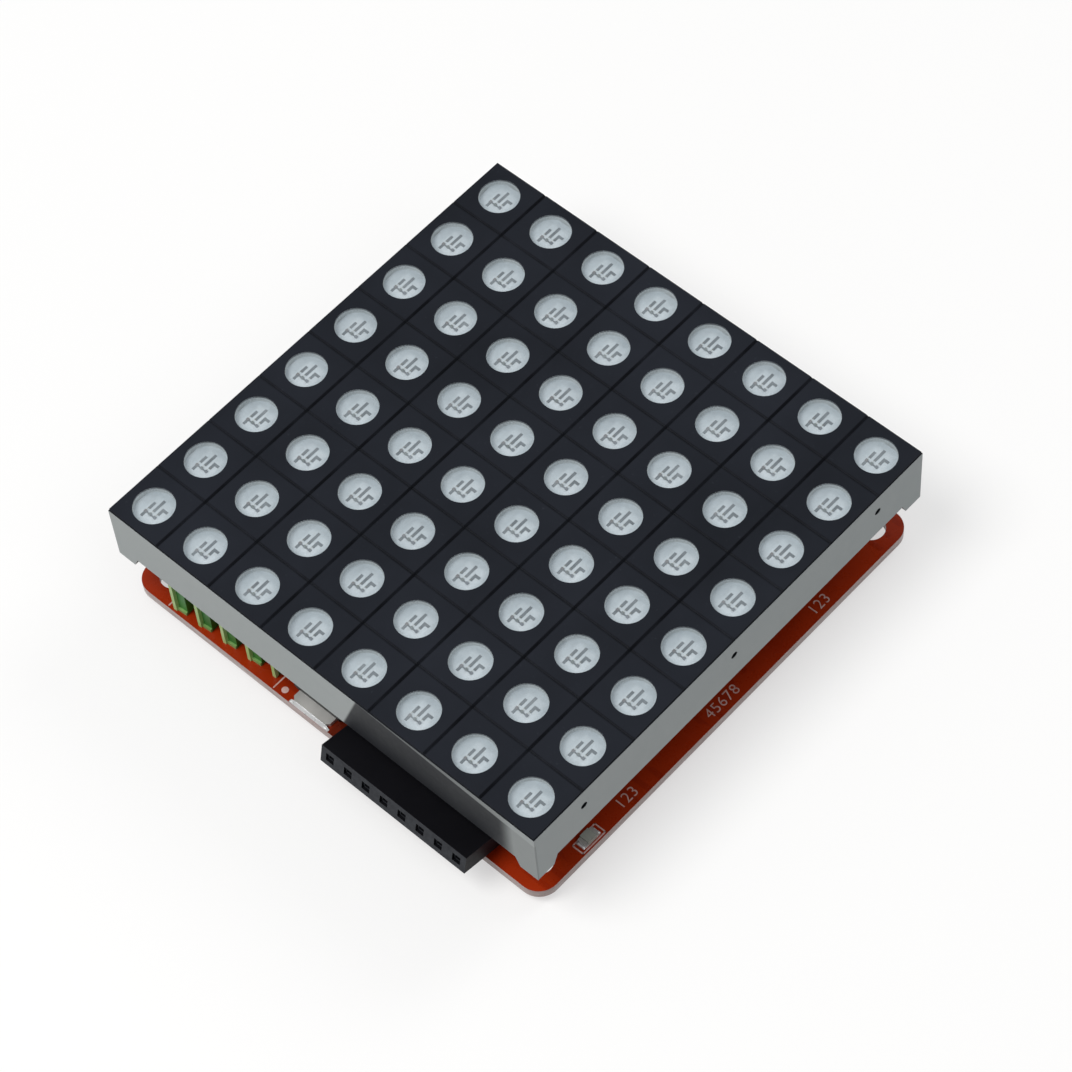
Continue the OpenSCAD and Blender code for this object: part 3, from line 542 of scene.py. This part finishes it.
def add_fillet(bm, x0, x1, y0, y1, base, height, steps=6):
    """A solder bead along X whose section rises from y0 and falls to y1, with rounded ends."""
    rows = []
    for i in range(9):
        t = i / 8
        x = x0 + (x1 - x0) * t
        grow = min(1, math.sin(math.pi * min(t, 1 - t) / 0.16) if min(t, 1 - t) < 0.08 else 1)
        row = []
        for k in range(steps + 1):
            u = k / steps
            y = y0 + (y1 - y0) * u
            row.append(bm.verts.new((x, y, base + height * grow * math.sin(math.pi * u) ** 0.7)))
        rows.append(row)
    for a, b in zip(rows, rows[1:]):
        for k in range(steps):
            bm.faces.new((a[k], b[k], b[k + 1], a[k + 1]))
        bm.faces.new((a[0], a[steps], b[steps], b[0]))
    bm.faces.new(rows[0])
    bm.faces.new(rows[-1][::-1])


def add_ramp(bm, x0, x1, profile):
    """A solder ramp along X with the given (y, height) profile, sinking at both ends."""
    rows = []
    for i in range(13):
        t = i / 12
        x = x0 + (x1 - x0) * t
        end = min(t, 1 - t)
        grow = math.sin(math.pi / 2 * min(1, end / 0.09)) ** 0.6 if end > 0 else 0.05
        rows.append([bm.verts.new((x, y, BOARD_TOP + h * grow)) for y, h in profile])
    n = len(profile)
    for a, b in zip(rows, rows[1:]):
        for k in range(n):
            m = (k + 1) % n
            bm.faces.new((a[k], b[k], b[m], a[m]))
    bm.faces.new(rows[0][::-1])
    bm.faces.new(rows[-1])


def regulator_solder(bm):
    """The wide pad in front of the tab, up to the board's edge."""
    add_ramp(bm, -6.15, -0.45, [(-29.69, 0.0), (-29.68, 0.10), (-29.58, 0.17), (-29.47, 0.26),
                               (-29.39, 0.38), (-29.352, 0.49), (-29.352, 0.0)])


mesh_piece("regulator_solder", regulator_solder, materials["solder"], smooth=True)


def add_wire(bm, a, b, rise, radius, steps=6, sides=5):
    """A fine bonded wire that arches from a to b."""
    a, b = Vector(a), Vector(b)
    along = (b - a).normalized()
    across = along.cross(Vector((0, 0, 1))).normalized()
    rings = []
    for k in range(steps + 1):
        t = k / steps
        centre = a.lerp(b, t) + Vector((0, 0, rise * math.sin(math.pi * t)))
        rings.append([bm.verts.new(centre + across * radius * math.cos(2 * math.pi * s / sides)
                                   + Vector((0, 0, 1)) * radius * math.sin(2 * math.pi * s / sides))
                      for s in range(sides)])
    for p, q in zip(rings, rings[1:]):
        for s in range(sides):
            n = (s + 1) % sides
            bm.faces.new((p[s], p[n], q[n], q[s]))


def bond_wires(bm):
    """One fine wire from each die to the trace behind it."""
    for i in range(LED_COUNT):
        for j in range(LED_COUNT):
            x = (i - (LED_COUNT - 1) / 2) * LED_PITCH
            y = (j - (LED_COUNT - 1) / 2) * LED_PITCH
            for k in (-1, 0, 1):
                die_x, die_y = x + k * DIE_GAP, y + DIE_ROW_Y
                add_wire(bm, (die_x, die_y + 0.05, LED_BOARD_TOP + 0.19),
                         (die_x, die_y + 0.72, LED_BOARD_TOP + 0.06), 0.09, 0.016)


mesh_piece("bond_wires", bond_wires, materials["contact_metal"])


def status_solder(bm):
    """A bead at either end of the status LED."""
    for end in (-1, 1):
        y = STATUS_LED_Y + end * 1.12
        add_fillet(bm, 28.08, 29.2, y - 0.2, y + 0.2, BOARD_TOP, 0.24)


mesh_piece("status_solder", status_solder, materials["solder"], smooth=True)


# ---------------------------------------------------------------- camera, as in the photograph
def place_camera(place_mm, target_mm, roll_deg, lens_mm):
    data = bpy.data.cameras.new("camera")
    cam = collection_object("camera", data)
    place = Vector(place_mm) * MM
    look = (Vector(target_mm) * MM - place).normalized()
    turn = look.to_track_quat("-Z", "Y").to_matrix().to_4x4()
    roll = Matrix.Rotation(math.radians(roll_deg), 4, "Z")
    cam.matrix_world = Matrix.Translation(place) @ turn @ roll
    data.lens = lens_mm
    data.sensor_width = 36
    data.clip_start = 0.01
    bpy.context.scene.camera = cam


place_camera((158.48, -144.99, 331.79), (6.38, -3.66, 14.95), -5.75, 123.4)


# ---------------------------------------------------------------- floor, light and world
def floor():
    """A plain pale floor under the pin tails."""
    me = bpy.data.meshes.new("floor")
    w = 2.0
    z = -1.2 * MM
    me.from_pydata([(-w, -w, z), (w, -w, z), (w, w, z), (-w, w, z)], [], [(0, 1, 2, 3)])
    obj = collection_object("floor", me)
    s = Shader("pale_floor")
    # pale to the eye and in reflections, darker to the light that it throws back on the walls
    path = s.node("ShaderNodeLightPath").outputs
    seen = s.math("MAXIMUM", path["Is Camera Ray"], s.math("MAXIMUM", path["Is Glossy Ray"],
                                                           path["Is Transmission Ray"]))
    pale = s.ramp(s.noise(6, 2), [(0.3, (0.95, 0.95, 0.95)), (0.7, (0.97, 0.97, 0.97))])
    s.set(Base_Color=s.mix(seen, rgba(0.22, 0.22, 0.22), pale), Roughness=0.9)
    s.bsdf.inputs["Specular IOR Level"].default_value = 0.0
    glow = s.node("ShaderNodeEmission")
    glow.inputs["Strength"].default_value = 1.0
    blend = s.node("ShaderNodeMixShader")
    s.link(s.math("MULTIPLY", seen, 0.55), blend.inputs[0])
    s.link(s.bsdf.outputs[0], blend.inputs[1])
    s.link(glow.outputs[0], blend.inputs[2])
    s.link(blend.outputs[0], s.out.inputs["Surface"])
    me.materials.append(s.mat)


def area_light(name, place, size, power, colour):
    """A soft round lamp that faces the part."""
    data = bpy.data.lights.new(name, "AREA")
    data.shape = "DISK"
    data.size = size
    data.energy = power
    data.color = colour
    obj = collection_object(name, data)
    obj.location = Vector(place)
    obj.rotation_euler = (-obj.location).to_track_quat("-Z", "Y").to_euler()


floor()
area_light("key", (-0.20, -0.40, 0.83), 0.5, 5.5, (1.0, 0.99, 0.97))
area_light("rear", (0.12, 0.62, 0.50), 0.4, 1.2, (1.0, 0.99, 0.97))
area_light("side", (0.50, 0.0, 0.60), 0.4, 0.5, (0.95, 0.975, 1.0))

world = bpy.data.worlds.new("studio")
bpy.context.scene.world = world
world.use_nodes = True
world.node_tree.nodes["Background"].inputs[0].default_value = (1, 1, 1, 1)
world.node_tree.nodes["Background"].inputs[1].default_value = 0.35
bpy.context.scene.view_settings.view_transform = "Standard"
